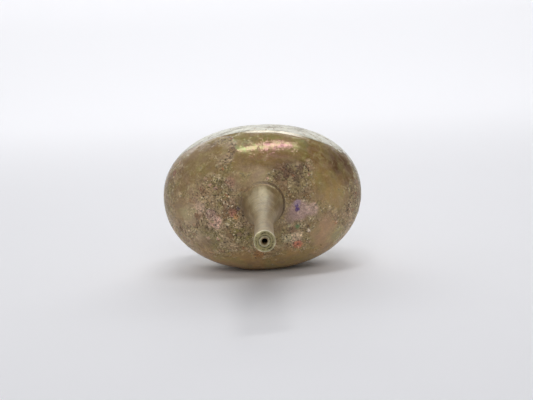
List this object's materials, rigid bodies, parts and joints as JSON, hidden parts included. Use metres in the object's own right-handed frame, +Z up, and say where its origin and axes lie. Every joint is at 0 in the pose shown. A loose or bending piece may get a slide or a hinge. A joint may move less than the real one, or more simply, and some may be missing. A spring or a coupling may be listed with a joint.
{
  "type": "glass sprinkler bottle",
  "caption": "Blown glass sprinkler bottle lying on its broad side: a flattened round body, a tapering neck and a rolled lip round a very narrow mouth, weathered and iridescent.",
  "frame": {"origin": "under the widest section of the body, on the neck's vertical plane, at the flat that the bottle rests on", "axes": "the neck points along -Y, +X is across the broad body, +Z is up from the side it lies on"},
  "size_m": [0.092, 0.1461, 0.0667],
  "materials": {
    "weathered_glass": "pitted, iridescent weathering crust over olive-brown glass"
  },
  "bodies": {
    "root": {"bottle": "weathered_glass"}
  },
  "joints": []
}
